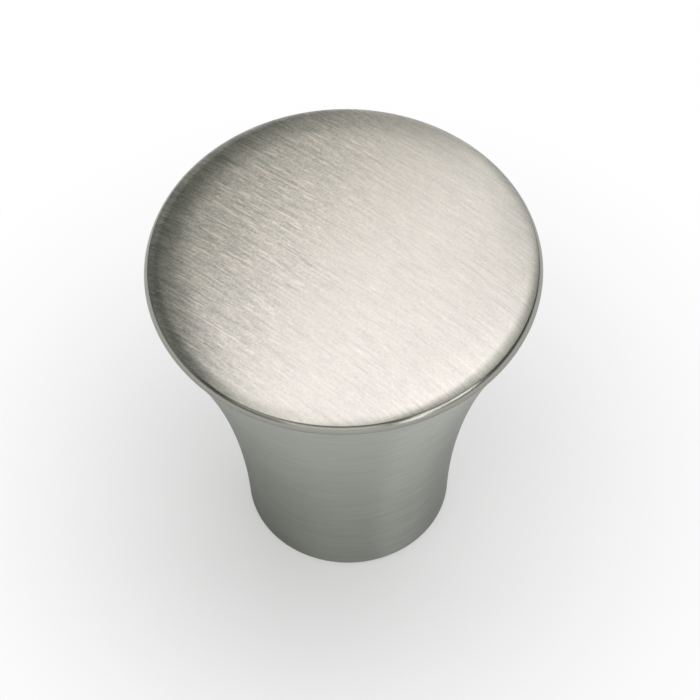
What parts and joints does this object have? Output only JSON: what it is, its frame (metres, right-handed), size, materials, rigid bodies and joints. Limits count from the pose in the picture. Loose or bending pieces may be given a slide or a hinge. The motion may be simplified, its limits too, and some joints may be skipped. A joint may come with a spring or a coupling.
{
  "type": "cabinet knob",
  "caption": "Flared round cabinet knob of solid metal with a shallow crowned face, a narrow rounded rim band and a blind tapped hole in its back.",
  "frame": {"origin": "centre of the seat, where the knob's axis meets the front of the door or drawer", "axes": "+Z along the axis, from the door out to the middle of the face; X and Y are alike, because the knob is round"},
  "size_m": [0.03, 0.03, 0.0316],
  "materials": {
    "brushed_metal": "brushed"
  },
  "bodies": {
    "root": {"knob": "brushed_metal"}
  },
  "joints": []
}
